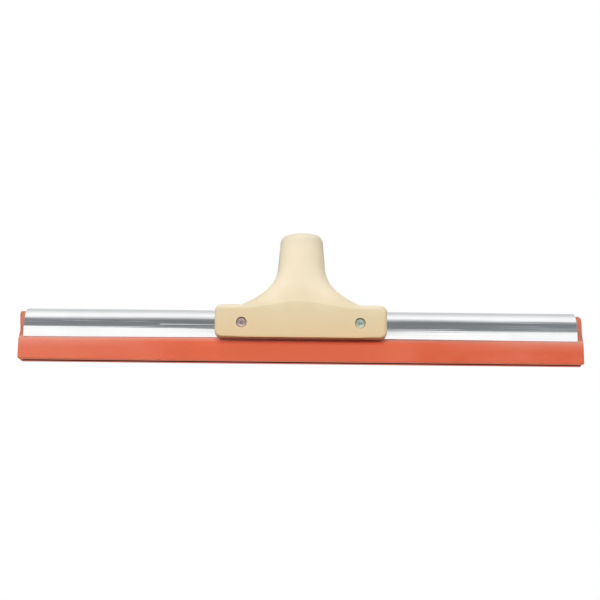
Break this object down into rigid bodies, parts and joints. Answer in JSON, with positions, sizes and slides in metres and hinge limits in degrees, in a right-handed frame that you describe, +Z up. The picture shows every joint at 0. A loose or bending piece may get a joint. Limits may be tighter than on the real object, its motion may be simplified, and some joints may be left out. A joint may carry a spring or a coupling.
{
  "type": "floor squeegee head",
  "caption": "Wide floor squeegee head: twin rubber lips clamped in a folded steel channel, with a flared moulded socket for a pole.",
  "frame": {"origin": "centre of the rectangle that the two lips stand on", "axes": "+X along the blades to the right as seen from the screw heads, +Y from the screw heads to the nuts, +Z up out of the pole bore"},
  "size_m": [0.45, 0.04, 0.1036],
  "materials": {
    "socket_plastic": "fine moulded texture, cream",
    "channel_steel": "bright zinc plate on rolled sheet",
    "blade_rubber": "matt orange cellular rubber",
    "core_rubber": "matt dark grey",
    "fastener_steel": "zinc plated"
  },
  "bodies": {
    "frame": {"handle_socket": "socket_plastic", "channel": "channel_steel", "front_blade": "blade_rubber", "rear_blade": "blade_rubber", "core_strip": "core_rubber", "screw_left": "fastener_steel", "screw_right": "fastener_steel", "nut_left": "fastener_steel", "nut_right": "fastener_steel"},
    "front_lip": {"front_lip": "blade_rubber"},
    "rear_lip": {"rear_lip": "blade_rubber"}
  },
  "joints": [
    {"name": "front_lip_flex", "type": "hinge", "parent": "frame", "child": "front_lip", "pos_m": [0, -0.006, 0.0165], "axis": [-1, 0, 0], "range_deg": [-8, 30], "stiffness_Nm_per_rad": 0.6},
    {"name": "rear_lip_flex", "type": "hinge", "parent": "frame", "child": "rear_lip", "pos_m": [0, 0.006, 0.0165], "axis": [1, 0, 0], "range_deg": [-8, 30], "stiffness_Nm_per_rad": 0.6}
  ]
}
